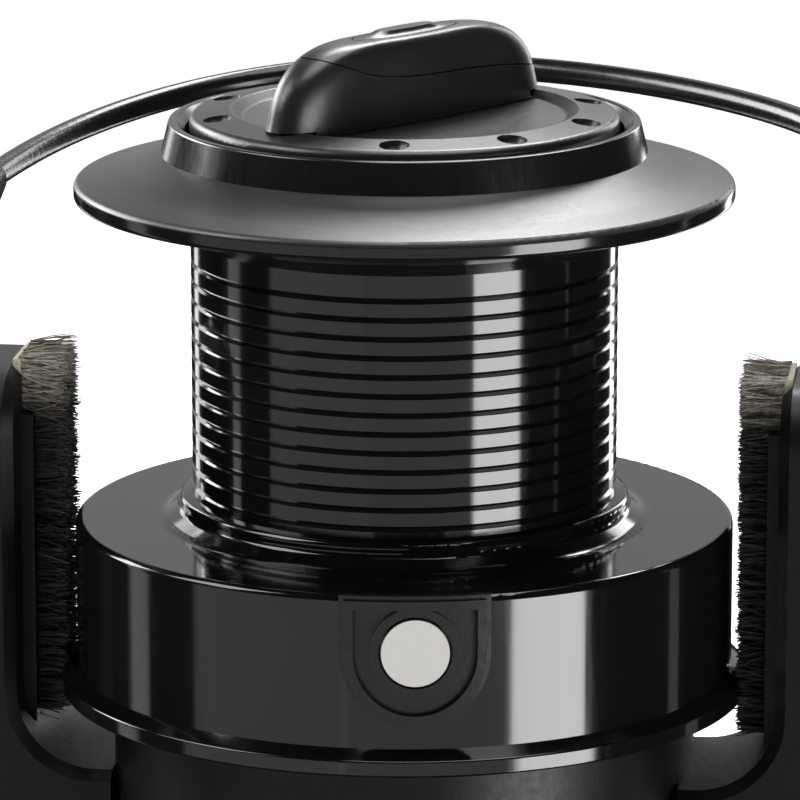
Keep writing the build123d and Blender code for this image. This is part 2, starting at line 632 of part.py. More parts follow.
def bar_between(start, end):
    """A round-ended flat bar between two (x, z) points, on the drive axle's level."""
    length = hypot(end[0] - start[0], end[1] - start[1])
    lean = degrees(atan2(end[1] - start[1], end[0] - start[0]))
    middle = Pos((start[0] + end[0]) / 2, (start[1] + end[1]) / 2)
    slot = Plane.XZ * (middle * Rot(0, 0, lean) * SlotCenterToCenter(length, HANDLE_BAR))
    return Pos(0, AXLE_Y, 0) * extrude(slot, HANDLE_BAR_WIDTH / 2, both=True)


def handle_arm():
    """Cranked bar that clears the rotor."""
    bend = (HANDLE_OUT_X, AXLE_Z - HANDLE_BEND)
    arm = bar_between((HANDLE_X, AXLE_Z), bend) + bar_between(bend, (HANDLE_OUT_X, KNOB_Z))
    return arm - across(SPINDLE_R, 0, KNOB_X, AXLE_Y, KNOB_Z)


def handle_spindle():
    """Fixed spindle that the handle's knob turns on."""
    spindle = across(SPINDLE_R, HANDLE_OUT_X - HANDLE_BAR / 2, KNOB_X + KNOB_LENGTH - 6.0, AXLE_Y, KNOB_Z)
    knob_end = KNOB_X + KNOB_LENGTH
    return spindle + across(SPINDLE_R + 1.2, knob_end - 6.0, knob_end - 4.0, AXLE_Y, KNOB_Z)


def about_spindle(shape):
    """A shape drawn about Z, laid along the handle's spindle with its foot at the bar."""
    return Pos(KNOB_X, AXLE_Y, KNOB_Z) * Rot(0, 90, 0) * shape


def handle_knob():
    """Barrel-shaped knob, bored for its spindle and counterbored for the spindle's head."""
    waist = KNOB_LENGTH * 0.55
    outline = Spline((KNOB_NECK_R, 0), (KNOB_R, waist), (KNOB_R - 3.0, KNOB_LENGTH - 2.0))
    outline += Polyline((KNOB_R - 3.0, KNOB_LENGTH - 2.0), (0, KNOB_LENGTH - 2.0), (0, 0), (KNOB_NECK_R, 0))
    barrel = revolve(Plane.XZ * make_face(outline), Axis.Z)
    barrel -= disc(SPINDLE_R + RUN_FIT, -1, KNOB_LENGTH)
    barrel -= disc(SPINDLE_R + 1.2 + BODY_GAP, KNOB_LENGTH - 6.4, KNOB_LENGTH)
    return about_spindle(barrel)


def handle_knob_cap():
    """Cap on the end of the handle's knob."""
    cap = disc(KNOB_R - 4.0, KNOB_LENGTH - 2.0 + FACE_GAP, KNOB_LENGTH)
    return about_spindle(fillet(cap.faces().sort_by(Axis.Z)[-1].edges(), 1.2))


# ---- rotor --------------------------------------------------------------------------------------
def arm_sketch():
    """One rotor arm seen along Y, on the +X side, as a sketch in X and Z."""
    inner = CUP_R - CUP_WALL / 2
    shape = Polyline(
        (inner, ARM_FOOT_Z), (ARM_OUT, ARM_FOOT_Z), (ARM_OUT, ARM_TOP_Z), (ARM_IN, ARM_TOP_Z),
        (ARM_IN, ARM_CROTCH_Z), (inner, ARM_CROTCH_Z), close=True)
    face = make_face(shape)
    outer_corner = face.vertices().group_by(Axis.Y)[0].sort_by(Axis.X)[-1]
    face = fillet(outer_corner, ARM_OUTER_R)
    crotch = [v for v in face.vertices() if abs(v.X - ARM_IN) < 0.01 and abs(v.Y - ARM_CROTCH_Z) < 0.01]
    return fillet(crotch, ARM_CROTCH_R)


def rotor_arm():
    """One rotor arm, on the +X side, with its brush channel and its cover's recess."""
    arm = extrude(Plane.XZ * arm_sketch(), ARM_WIDTH / 2, both=True)
    top = arm.edges().filter_by(Axis.X).group_by(Axis.Z)[-1]
    arm = fillet(top, ARM_CORNER_R)
    inner = [e for e in arm.edges().filter_by(Axis.Z) if abs(e.center().X - ARM_IN) < 0.01]
    arm = chamfer(inner, 1.2)
    outer = [e for e in arm.edges().filter_by(Axis.Z) if abs(e.center().X - ARM_OUT) < 0.01]
    arm = chamfer(outer, 1.6)
    channel = BRUSH_WIDTH / 2 + 0.2
    for side in (-1, 1):
        rib_y = sorted((side * channel, side * (channel + RIB_WIDTH)))
        arm += block((ARM_IN - RIB, ARM_IN + 0.5), rib_y, (ARM_CROTCH_Z + 2.0, ARM_TOP_Z - RIB_UNDER_TOP))
    arm -= block((ARM_IN - ARM_CROTCH_R, ARM_IN + BRUSH_DEPTH_IN_ARM), (-channel, channel),
                 (BRUSH_FOOT_Z - 0.2, ARM_TOP_Z + BRUSH_ABOVE_ARM + 0.2))
    arm -= cover_recess()
    return arm - across(PIVOT_SCREW_R, ARM_IN + 2.0, ARM_OUT + 1, 0, PIVOT_Z)


def cover_limits():
    """The recess under an arm's cover, as its Y and Z limits."""
    half = ARM_WIDTH / 2 - 4.0
    return (-half, half), (ARM_CROTCH_Z + 6.0, PIVOT_Z - BAIL_PLATE_R - 4.0)


def cover_recess():
    """The recess in an arm's outer face."""
    y, z = cover_limits()
    return block((ARM_OUT - COVER_RECESS, ARM_OUT + 1), y, z)


def arm_cover():
    """Plate over an arm's recess, on the +X side."""
    y, z = cover_limits()
    plate = block((ARM_OUT - COVER_THICKNESS, ARM_OUT), (y[0] + 0.1, y[1] - 0.1), (z[0] + 0.1, z[1] - 0.1))
    return plate - across(SCREW_R + 0.1, ARM_IN, ARM_OUT + 1, 0, sum(z) / 2)


def arm_cover_screws():
    """One screw in each arm's cover."""
    z = sum(cover_limits()[1]) / 2
    screw = across(SCREW_R, ARM_OUT - COVER_RECESS, ARM_OUT, 0, z)
    screw += across(SCREW_HEAD_R, ARM_OUT, ARM_OUT + 0.9, 0, z)
    screw -= block((ARM_OUT + 0.4, ARM_OUT + 2), (-2, 2), (z - 0.4, z + 0.4))
    return Compound([screw, Rot(0, 0, 180) * screw])


def rotor():
    """Rotor: cup inside the spool's skirt, floor on the pinion, and two arms."""
    inside = CUP_R - CUP_WALL
    floor_top = ROTOR_FLOOR_Z + ROTOR_FLOOR
    cup = lathe([
        (inside - 2.0, ROTOR_FOOT_Z), (CUP_R - 1.5, ROTOR_FOOT_Z), (CUP_R, ROTOR_FOOT_Z + 2.0),
        (CUP_R, CUP_TOP_Z), (inside, CUP_TOP_Z), (inside, floor_top), (JOURNAL_R, floor_top),
        (JOURNAL_R, ROTOR_FLOOR_Z), (inside - 2.0, ROTOR_FLOOR_Z)])
    body = cup + rotor_arm() + Rot(0, 0, 180) * rotor_arm()
    for quarter in range(4):
        body -= Rot(0, 0, 45 + 90 * quarter) * Pos(inside * 0.62, 0, 0) * disc(4.0, 0, floor_top + 1)
    return body


def rotor_nut():
    """Nut that holds the rotor on the pinion."""
    low = ROTOR_FLOOR_Z + ROTOR_FLOOR + FACE_GAP
    hexagon = extrude(Pos(0, 0, low) * RegularPolygon(7.0, 6), 4.5)
    return hexagon - disc(JOURNAL_R - 0.6, 0, SPOOL_FOOT_Z)


def brush_limits():
    """Height limits of the brush strips."""
    return BRUSH_FOOT_Z, ARM_TOP_Z + BRUSH_ABOVE_ARM


def brush_backings():
    """The woven strips that the brushes stand on, one in each arm's channel."""
    half = BRUSH_WIDTH / 2
    deep = ARM_IN + BRUSH_DEPTH_IN_ARM - 0.02
    strip = block((deep - BACKING, deep), (-half, half), brush_limits())
    return Compound([strip, Rot(0, 0, 180) * strip])


def brush():
    """The pile of one brush strip, on the +X side."""
    half = BRUSH_WIDTH / 2
    foot_x = ARM_IN + BRUSH_DEPTH_IN_ARM - BACKING - 0.04
    return block((FLANGE_R + BODY_GAP, foot_x), (-half + 0.3, half - 0.3), brush_limits())


def bail_spring():
    """Coil spring that snaps the bail over, lying in the -X arm's recess."""
    y, z = cover_limits()
    path = Helix(1.6, z[1] - z[0] - 4.0, 0.8)
    wire = sweep(Plane(path @ 0, z_dir=path % 0) * Circle(0.3), path)
    return Pos(-(ARM_OUT - COVER_THICKNESS - 1.3), 4.2, z[0] + 2.0) * wire


# ---- bail ---------------------------------------------------------------------------------------
def wire_point(turn):
    """A point of the bail wire's axis, turn in radians from the +X side to the -X side."""
    x = wire_half() * cos(turn)
    y = WIRE_REACH * sin(turn) * (1 - WIRE_SKEW * cos(turn))
    z = WIRE_SIDE_Z + (WIRE_APEX_Z - WIRE_SIDE_Z) * sin(turn) + WIRE_TILT * cos(turn)
    return (x, y, z)


def wire_half():
    """The bail wire stands over the middle of the bail's plates at its ends."""
    return ARM_OUT


def roller_place():
    """Middle of the line roller, which the wire's -X end points at."""
    return (-wire_half(), 0.0, WIRE_SIDE_Z - WIRE_TILT)


def bail_wire():
    """The bail's wire, from the cone on the -X side round to the lever on the +X side."""
    start = 0.06
    end = pi - WIRE_CONE_TURN
    points = [wire_point(start + (end - start) * step / 12) for step in range(13)]
    path = Spline(*points)
    return sweep(Plane(path @ 0, z_dir=path % 0) * Circle(WIRE_R), path)


def wire_cone():
    """Cone between the line roller and the wire."""
    x, y, z = roller_place()
    first = y + ROLLER_LENGTH / 2 + 0.25
    tip = wire_point(pi - WIRE_CONE_TURN)
    base = Plane((x, first, z), x_dir=(1, 0, 0), z_dir=(0, 1, 0)) * Circle(CONE_R)
    path = Spline(tip, wire_point(pi - WIRE_CONE_TURN - 0.01))
    end = Plane(tip, x_dir=(1, 0, 0), z_dir=(path % 0) * -1) * Circle(WIRE_R + 0.7)
    return loft([base, end])


def bail_plate(low_z, high_z):
    """A flat lever outside an arm, on the +X side, from the pivot up to a height."""
    plate = across(BAIL_PLATE_R, BAIL_IN, BAIL_OUT, 0, PIVOT_Z)
    plate += block((BAIL_IN, BAIL_OUT), (-5.0, 5.0), (low_z, high_z))
    return plate


def pivot_bore():
    """The hole for a pivot screw, on the +X side."""
    return across(PIVOT_SCREW_R + RUN_FIT, ARM_IN, BAIL_OUT + 1, 0, PIVOT_Z)


def bail_arm():
    """Lever that carries the line roller, on the -X side."""
    x, y, z = roller_place()
    behind = y - ROLLER_LENGTH / 2 - 0.25
    arm = Rot(0, 0, 180) * (bail_plate(PIVOT_Z, z + 2.0) - pivot_bore())
    ear = Pos(x, behind, z) * Rot(90, 0, 0) * Cylinder(CONE_R, EAR, align=LOW)
    ear += block((-BAIL_OUT, x), (behind - EAR, behind), (z - CONE_R, z + CONE_R))
    cut = Pos(x, y, z) * Rot(90, 0, 0) * Cylinder(ROLLER_R + BODY_GAP + 0.4, ROLLER_LENGTH + 0.5)
    cone_room = block((-BAIL_OUT - 1, 0), (y + ROLLER_LENGTH / 2, 20), (z - CONE_R - BODY_GAP, z + 20))
    return arm + ear - cut - cone_room - Pos(x, 0, z) * Rot(90, 0, 0) * Cylinder(ROLLER_BORE_R, 60)


def bail_lever():
    """Lever on the +X side that carries the wire's other end."""
    x, y, z = wire_point(0.0)
    lever = bail_plate(PIVOT_Z, z - 3.0) - pivot_bore()
    boss = Pos(x, 0, z) * Rot(90, 0, 0) * Cylinder(WIRE_R + 2.0, 10.0)
    neck = block((x, BAIL_OUT), (-5.0, 5.0), (z - 5.5, z))
    return lever + boss + neck - bail_wire_bore()


def bail_wire_bore():
    """The hole that the wire's +X end sits in."""
    x, y, z = wire_point(0.0)
    return Pos(x, 0, z) * Rot(90, 0, 0) * Cylinder(WIRE_R + 0.4, 30.0)


def roller_screw():
    """Screw through the ear and the line roller into the cone."""
    x, y, z = roller_place()
    low = y - ROLLER_LENGTH / 2 - 0.25 - EAR
    shank = Pos(x, low, z) * Rot(-90, 0, 0) * Cylinder(ROLLER_BORE_R, EAR + ROLLER_LENGTH + 0.45, align=LOW)
    head = Pos(x, low, z) * Rot(90, 0, 0) * Cylinder(3.2, 1.2, align=LOW)
    slot = block((x - 4, x + 4), (low - 2, low - 0.7), (z - 0.4, z + 0.4))
    return shank + head - slot


def line_roller():
    """Grooved roller that the line runs over."""
    half = ROLLER_LENGTH / 2
    edge = half - 1.2
    rim = [(ROLLER_R, -half), (ROLLER_R, -edge), (ROLLER_R - 1.1, 0), (ROLLER_R, edge), (ROLLER_R, half)]
    bore = ROLLER_BORE_R + RUN_FIT
    roller = lathe([(bore, -half)] + rim + [(bore, half)])
    x, y, z = roller_place()
    return Pos(x, y, z) * Rot(90, 0, 0) * roller


def pivot_screws():
    """The two shouldered screws that the bail turns on."""
    screw = across(PIVOT_SCREW_R, ARM_IN + 2.2, BAIL_OUT + FACE_GAP, 0, PIVOT_Z)
    head = across(PIVOT_SCREW_R + 2.3, BAIL_OUT + FACE_GAP, BAIL_OUT + 1.4, 0, PIVOT_Z)
    screw += head - block((BAIL_OUT + 0.7, BAIL_OUT + 3), (-6, 6), (PIVOT_Z - 0.5, PIVOT_Z + 0.5))
    return Compound([screw, Rot(0, 0, 180) * screw])


# ---- shaft and slider ---------------------------------------------------------------------------
def keyed(shape, low, high):
    """A shaft with two flats between two heights."""
    flats = block((-20, 20), (SHAFT_FLAT, 20), (low, high))
    flats += block((-20, 20), (-20, -SHAFT_FLAT), (low, high))
    return shape - flats


def main_shaft():
    """Shaft that carries the spool up and down; its top is threaded for the drag nut."""
    shaft = keyed(disc(SHAFT_R, SLIDER_Z, SHAFT_TOP_Z), CHAMBER_Z, SHAFT_TOP_Z - 1.0)
    return shaft - Pos(0, 0, SHAFT_TOP_Z) * Box(0.8, 8, 1.0)


def slider():
    """Block on the shaft's foot that the worm drives."""
    body = block(SLIDER_X, SLIDER_Y, (SLIDER_Z, SLIDER_Z + SLIDER_HEIGHT))
    body -= disc(SHAFT_R, SLIDER_Z - 1, 0)
    body -= Pos(WORM_X, WORM_Y, 0) * disc(WORM_R + BODY_GAP, SLIDER_Z - 1, 0)
    body -= Pos(GUIDE_X, GUIDE_Y, 0) * disc(GUIDE_R + RUN_FIT, SLIDER_Z - 1, 0)
    return body - pawl_bore()


def pawl_bore():
    """The hole in the slider for the pawl."""
    middle = SLIDER_Z + SLIDER_HEIGHT / 2
    return Pos(WORM_X, WORM_Y, middle) * Rot(-90, 0, 0) * Cylinder(1.5, 30, align=LOW)


def slider_pawl():
    """Pin whose tip follows the worm's groove."""
    middle = SLIDER_Z + SLIDER_HEIGHT / 2
    length = SLIDER_Y[1] - WORM_Y - WORM_R - 0.15
    return Pos(WORM_X, WORM_Y + WORM_R + 0.15, middle) * Rot(-90, 0, 0) * Cylinder(1.5, length, align=LOW)


def click_gear():
    """Toothed wheel on the shaft, under the spool, that the drag's click sounds on."""
    low = SKIRT_CEILING_Z - 9.0
    wheel = disc(8.0, low, low + 1.6)
    for tooth in range(24):
        wheel -= Rot(0, 0, 15 * tooth) * Pos(8.2, 0, 0) * disc(0.7, low - 1, low + 3)
    return wheel - disc(SHAFT_R, 0, 100)


def spool_seat():
    """Collar on the shaft that the spool's lower bearing rests on."""
    low = SKIRT_CEILING_Z - 7.2
    return tube(SHAFT_R + 2.0, SHAFT_R, low, spool_bearing_z()[0] - FACE_GAP)


def spool_bearing_z():
    """Lower faces of the spool's two bearings."""
    return SKIRT_CEILING_Z - 2.0, CHAMBER_Z - WEB_THICKNESS - BEARING_WIDTH


# ---- spool --------------------------------------------------------------------------------------
def spool_body():
    """Drum and hub in one piece."""
    inner = DRUM_R - DRUM_WALL
    bottom = CHAMBER_Z - WEB_THICKNESS
    hub_low = spool_bearing_z()[0]
    body = lathe([
        (BEARING_R + SEAT_FIT, hub_low), (HUB_R, hub_low), (HUB_R, bottom), (inner, bottom),
        (inner, SKIRT_CEILING_Z), (SPIGOT_R, SKIRT_CEILING_Z), (SPIGOT_R, BEAD_TOP_Z),
        (DRUM_R, BEAD_TOP_Z + FACE_GAP), (DRUM_R, LIP_Z), (CHAMBER_R, LIP_Z), (CHAMBER_R, CHAMBER_Z),
        (SHAFT_R + 1.5, CHAMBER_Z), (SHAFT_R + 1.5, bottom), (BEARING_R + SEAT_FIT, bottom)])
    for groove in range(GROOVE_COUNT):
        z = SKIRT_TOP_Z + GROOVE_START + GROOVE_PITCH * groove
        half = GROOVE_WIDTH / 2
        body -= lathe([(DRUM_R + 0.01, z - half), (DRUM_R + 0.01, z + half), (DRUM_R - GROOVE_DEPTH, z)])
    return body


def spool_skirt():
    """Skirt, with the wider ring at its foot and the bead round the drum's foot."""
    bore = SPIGOT_R + SEAT_FIT
    wall = SKIRT_R - SKIRT_WALL
    skirt = lathe([
        (bore, SKIRT_CEILING_Z), (wall, SKIRT_CEILING_Z), (wall, SPOOL_FOOT_Z), (FLANGE_R, SPOOL_FOOT_Z),
        (FLANGE_R, FLANGE_TOP_Z), (SKIRT_R, SKIRT_FOOT_Z), (SKIRT_R, SKIRT_TOP_Z),
        (BEAD_R + BEAD_FLARE, SKIRT_TOP_Z), (BEAD_R, SKIRT_TOP_Z + 1.3), (BEAD_R, BEAD_TOP_Z - 0.3),
        (DRUM_R, BEAD_TOP_Z), (bore, BEAD_TOP_Z)],
        [(3, 0.3), (4, 0.3), (6, SKIRT_EDGE), (7, 2.2), (8, 0.8), (9, 0.7)])
    return skirt - button_bore() - clip_screw_bore()


def spool_lip():
    """Ring that ends the drum and casts the line off."""
    rim_top = LIP_RIM_Z + LIP_EDGE
    middle = ((LIP_R + COLLAR_FOOT_R) / 2, (rim_top + COLLAR_Z) / 2 - LIP_CONE_DIP)
    return lathe([
        (CHAMBER_R, LIP_Z), (DRUM_R, LIP_Z), (DRUM_R + 5.0, LIP_Z + LIP_RISE * 0.55), (LIP_R, LIP_RIM_Z),
        (LIP_R, rim_top), middle, (COLLAR_FOOT_R, COLLAR_Z),
        (WELL_R, COLLAR_Z), (WELL_R, SHELF_Z), (CHAMBER_R, SHELF_Z)],
        [(2, 8.0), (3, 0.6), (4, 0.8), (5, 20.0)])


def lip_collar():
    """Screwed collar that holds the lip."""
    return lathe([
        (WELL_R, COLLAR_Z), (COLLAR_FOOT_R, COLLAR_Z), (COLLAR_TOP_R, COLLAR_TOP_Z),
        (COLLAR_TOP_R - COLLAR_EDGE, COLLAR_TOP_Z), (WELL_R, COLLAR_TOP_Z - 1.0)],
        [(2, 0.3), (3, 0.3)])


def spool_bearings():
    """The two ball races in the spool's hub."""
    races = [tube(BEARING_R, SHAFT_R + RUN_FIT, z, z + BEARING_WIDTH) for z in spool_bearing_z()]
    return Compound(races)


def on_skirt(shape):
    """A shape drawn with X across, Y outward from the spool's axis and Z up, at the clip's place."""
    return Rot(0, 0, CLIP_ANGLE - 90) * shape


def clip_outline(inset):
    """The clip's outline: flat on top, round below, seen from outside, as X and Z."""
    top = SKIRT_TOP_Z + CLIP_ABOVE_SKIRT - inset
    half = CLIP_WIDTH / 2 - inset
    low = SKIRT_TOP_Z + CLIP_ABOVE_SKIRT - CLIP_HEIGHT + inset
    shape = Pos(0, (top + low + half) / 2) * Rectangle(2 * half, top - low - half)
    shape += Pos(0, low + half) * Circle(half)
    return shape & Pos(0, (top + low) / 2) * Rectangle(3 * half, top - low)


def button_z():
    """Height of the clip button's centre."""
    return SKIRT_TOP_Z - CLIP_BUTTON_Z


def radial(radius, y_from, y_to, x, z):
    """A cylinder along Y between two distances from the spool's axis."""
    return Pos(x, y_from, z) * Rot(-90, 0, 0) * Cylinder(radius, y_to - y_from, align=LOW)


def button_bore():
    """The hole in the skirt for the clip button's stem."""
    return on_skirt(radial(CLIP_BUTTON_R - 1.8 + BODY_GAP / 2, 30, 50, 0, button_z()))


def clip_screw_bore():
    """The hole in the skirt for the clip's rivet."""
    return on_skirt(radial(1.2, 30, 50, 0, button_z() - CLIP_BUTTON_R - 2.4))


def line_clip():
    """Moulded line clip on the skirt."""
    face = SKIRT_R + CLIP_STANDS_OUT
    wide = extrude(Plane.XZ * clip_outline(0), -60)
    shell = wide & tube(face - CLIP_STEP, SKIRT_R + 0.01, SPOOL_FOOT_Z, LIP_Z)
    narrow = extrude(Plane.XZ * clip_outline(CLIP_STEP), -60)
    shell += narrow & tube(face, SKIRT_R + 0.01, SPOOL_FOOT_Z, LIP_Z)
    dish = extrude(Plane.XZ * clip_outline(CLIP_RIM), -60)
    shell -= dish & tube(SKIRT_R + 9, SKIRT_R + CLIP_STANDS_OUT - CLIP_DISH, SPOOL_FOOT_Z, LIP_Z)
    collar = radial(CLIP_BUTTON_R + 1.3, SKIRT_R + 0.1, 50, 0, button_z())
    shell += collar & tube(SKIRT_R + CLIP_STANDS_OUT - 0.2, SKIRT_R + 0.1, SPOOL_FOOT_Z, LIP_Z)
    shell = on_skirt(shell)
    shell -= on_skirt(radial(CLIP_BUTTON_R + 0.3, SKIRT_R + 0.3 - 1.0, 50, 0, button_z()))
    screw_z = button_z() - CLIP_BUTTON_R - 2.4
    return shell + on_skirt(radial(1.19, SKIRT_R - SKIRT_WALL, SKIRT_R + 0.6, 0, screw_z))


def line_clip_button():
    """Round sprung button that the line is caught under."""
    face = SKIRT_R + CLIP_STANDS_OUT - 0.1
    button = radial(CLIP_BUTTON_R, face - 0.8, face, 0, button_z())
    button += radial(CLIP_BUTTON_R - 1.8, SKIRT_R - SKIRT_WALL - 1.0, face, 0, button_z())
    return on_skirt(button)


# ---- drag ---------------------------------------------------------------------------------------
def washer_z(index):
    """Lower face of a washer, counted from the chamber's floor."""
    return CHAMBER_Z + FACE_GAP + index * (WASHER_THICKNESS + FACE_GAP)


def washer(index):
    """One washer of the drag's stack; the odd ones are keyed to the shaft."""
    low = washer_z(index)
    ring = disc(WASHER_R, low, low + WASHER_THICKNESS)
    if index % 2:
        return ring - keyed(disc(SHAFT_R, low - 1, low + 5), low - 1, low + 5)
    return ring - disc(SHAFT_R + 1.5, low - 1, low + 5)


def drag_felts():
    """The fibre washers, which turn with the spool."""
    return Compound([washer(2 * pair) for pair in range(WASHER_PAIRS)])


def drag_plates():
    """The metal washers, which are keyed to the shaft."""
    return Compound([washer(2 * pair + 1) for pair in range(WASHER_PAIRS)])


def drag_clip():
    """Wire ring that keeps the washers in the spool."""
    low = PLATE_Z + 0.6
    return tube(CHAMBER_R, PLATE_R + BODY_GAP, low, low + 1.0)


def pressure_plate():
    """Keyed plate that presses the washers together."""
    plate = disc(PLATE_R, PLATE_Z, PLATE_Z + PLATE_THICKNESS)
    plate += tube(SHAFT_R + 3.0, SHAFT_R, PLATE_Z, PLATE_Z + PLATE_THICKNESS + 2.0)
    return plate - keyed(disc(SHAFT_R + RUN_FIT, 0, 200), 0, 200)


def drag_spring():
    """Spring between the pressure plate and the knob."""
    low = PLATE_Z + PLATE_THICKNESS + DRAG_SPRING_WIRE + FACE_GAP
    height = DISC_LOW_Z + 0.8 - low - DRAG_SPRING_WIRE - FACE_GAP
    path = Helix(height / 2.5, height, DRAG_SPRING_R)
    return Pos(0, 0, low) * sweep(Plane(path @ 0, z_dir=path % 0) * Circle(DRAG_SPRING_WIRE), path)


def drag_nut():
    """Nut in the knob, on the shaft's thread."""
    low = DISC_LOW_Z + 0.85
    hexagon = extrude(Pos(0, 0, low) * RegularPolygon(DRAG_NUT_ACROSS / sqrt(3), 6), DRAG_NUT_HEIGHT)
    return hexagon - disc(SHAFT_R + RUN_FIT, 0, 200)


def drag_knob():
    """Disc of the drag knob, with dimples round its rim."""
    dish_r = DISC_R - DISC_RIM_WIDTH
    knob = lathe([
        (0, DISC_LOW_Z), (DISC_R, DISC_LOW_Z), (DISC_R, DISC_TOP_Z - DISC_RIM_LOW),
        (dish_r, DISC_TOP_Z + DISC_RIM_HIGH), (dish_r - 1.3, DISC_TOP_Z - DISH_DEPTH),
        (0, DISC_TOP_Z - DISH_DEPTH)],
        [(2, DISC_EDGE), (3, 0.4), (4, 0.8)])
    ball_r = (DIMPLE_R ** 2 + DIMPLE_DEPTH ** 2) / (2 * DIMPLE_DEPTH)
    seen = [dimple for dimple in range(DIMPLE_COUNT) if dimple % (DIMPLE_COUNT / 2) != 1]
    for dimple in seen:
        turn = Rot(0, 0, DIMPLE_START + 360 * dimple / DIMPLE_COUNT)
        knob -= turn * Pos(DIMPLE_CIRCLE_R, 0, DISC_TOP_Z - 0.1 - DIMPLE_DEPTH + ball_r) * Sphere(ball_r)
    knob -= disc(DRAG_SPRING_R + 1.5, DISC_LOW_Z - 1, DISC_LOW_Z + 0.8)
    nut_space = Pos(0, 0, DISC_LOW_Z) * RegularPolygon(DRAG_NUT_ACROSS / sqrt(3) + 0.05, 6)
    knob -= extrude(nut_space, DRAG_NUT_HEIGHT + 0.9)
    return knob - disc(SHAFT_R + 0.3, DISC_LOW_Z, SHAFT_TOP_Z + 0.5)


def grip_side(points):
    """A shape seen along the grip's side, from (along, height above the dish) points."""
    edge = Spline(*points)
    foot = -6.0
    edge += Polyline(points[-1], (points[-1][0], foot), (points[0][0], foot), points[0])
    prism = extrude(Plane.XZ * make_face(edge), GRIP_WIDTH, both=True)
    return on_dish(prism)


def on_dish(shape):
    """A shape drawn along X from the dish's floor, turned to the grip's angle."""
    return Rot(0, 0, GRIP_ANGLE) * Pos(0, 0, DISC_TOP_Z - DISH_DEPTH) * shape


def grip_outline(long, wide, height):
    """A boat-shaped level section of the grip, from its half length and half width."""
    shares = ((1.0, 0.0), (0.97, 0.4), (0.88, 0.68), (0.5, 0.91), (0.0, 1.0))
    quarter = [(long * x, wide * y) for x, y in shares]
    upper = quarter + [(-x, y) for x, y in reversed(quarter[:-1])]
    points = upper + [(x, -y) for x, y in reversed(upper[1:-1])]
    return Pos(0, 0, height) * make_face(Spline(*points, periodic=True))


def grip_blank():
    """The whole grip before it is divided: level sections that draw in towards an arched top."""
    long = GRIP_LENGTH / 2
    wide = GRIP_WIDTH / 2
    top = GRIP_HEIGHT + DISH_DEPTH
    shares = ((0.0, 1.0, 1.0), (0.37, 0.94, 0.97), (0.6, 0.875, 0.94), (0.8, 0.75, 0.87), (0.93, 0.52, 0.66),
              (1.0, 0.2, 0.25))
    return on_dish(loft([grip_outline(long * a, wide * b, top * h) for h, a, b in shares]))


def grip_seam(gap):
    """Everything under the joint between the grip's two pieces, lowered by a gap."""
    waves = ((-30.0, 9.9), (-22.0, 9.8), (-18.7, 9.3), (-14.4, 8.1), (-10.9, 6.8), (-7.4, 5.9), (-0.8, 5.3),
             (7.9, 5.0), (15.3, 4.4), (20.4, 3.6), (30.0, 2.6))
    return grip_side([(along, height - gap) for along, height in waves])


def grip_base():
    """Lower piece of the knob's grip, standing in the dish and on the rim."""
    low = DISC_TOP_Z - DISH_DEPTH
    rim = tube(DISC_R + 1.0, DISC_R - DISC_RIM_WIDTH - 1.5, low - 1.0, DISC_TOP_Z + DISC_RIM_HIGH)
    foot = on_dish(extrude(grip_outline(GRIP_LENGTH / 2 + 0.3, GRIP_WIDTH / 2 + GRIP_FOOT, 0), GRIP_FOOT))
    return (grip_blank() & grip_seam(GRIP_SEAM_GAP)) + foot - rim


def grip_cap():
    """Upper piece of the knob's grip, with the outline of a blank badge."""
    blank = grip_blank()
    cap = blank - grip_seam(0.0)
    outer = Ellipse(BADGE_LENGTH / 2, BADGE_WIDTH / 2)
    ring = outer - Ellipse(BADGE_LENGTH / 2 - BADGE_GROOVE, BADGE_WIDTH / 2 - BADGE_GROOVE)
    groove = Rot(0, 0, GRIP_ANGLE) * Pos(0, 0, DISC_TOP_Z) * extrude(ring, GRIP_HEIGHT + 1.0)
    return cap - (groove - Pos(0, 0, -BADGE_GROOVE) * blank)


# ---- export -------------------------------------------------------------------------------------
TO_ROW = Pos(0, -SEAT_Y, -FOOT_CENTRE_Z)
TURN = Rot(0, 0, ROTOR_ANGLE)
HALF_TURN = Rot(0, 0, 180)


def steady_nodes():
    """Pieces drawn in their own place."""
    return {
        "housing": housing(), "side_cover": side_cover(), "case_screws": case_screws(),
        "rear_cap": rear_cap(), "port_cap": port_cap(), "drive_bearings": drive_bearings(),
        "pinion_bearing": pinion_bearing(), "worm_bush": worm_bushes(), "guide_rod": guide_rod(),
        "clutch_ring": clutch_ring(), "clutch_rollers": clutch_rollers(),
        "anti_reverse_lever": anti_reverse_lever(),
        "drive_gear": drive_gear(), "drive_shaft": drive_shaft(),
        "handle_shaft": handle_shaft(), "handle_arm": handle_arm(), "handle_spindle": handle_spindle(),
        "handle_knob": handle_knob(), "handle_knob_cap": handle_knob_cap(),
        "pinion": pinion(), "clutch_sleeve": clutch_sleeve(), "rotor_nut": rotor_nut(),
        "worm_shaft": worm_shaft(), "main_shaft": main_shaft(), "slider": slider(),
        "slider_pawl": slider_pawl(), "click_gear": click_gear(), "spool_seat": spool_seat(),
        "drag_plates": drag_plates(), "spool_body": spool_body(),
        "spool_skirt": spool_skirt(), "spool_lip": spool_lip(),
        "lip_collar": lip_collar(), "spool_bearings": spool_bearings(), "line_clip": line_clip(),
        "line_clip_button": line_clip_button(), "drag_felts": drag_felts(), "drag_clip": drag_clip(),
        "pressure_plate": pressure_plate(), "drag_spring": drag_spring(), "drag_nut": drag_nut(),
        "drag_knob": drag_knob(), "grip_base": grip_base(), "grip_cap": grip_cap(),
    }


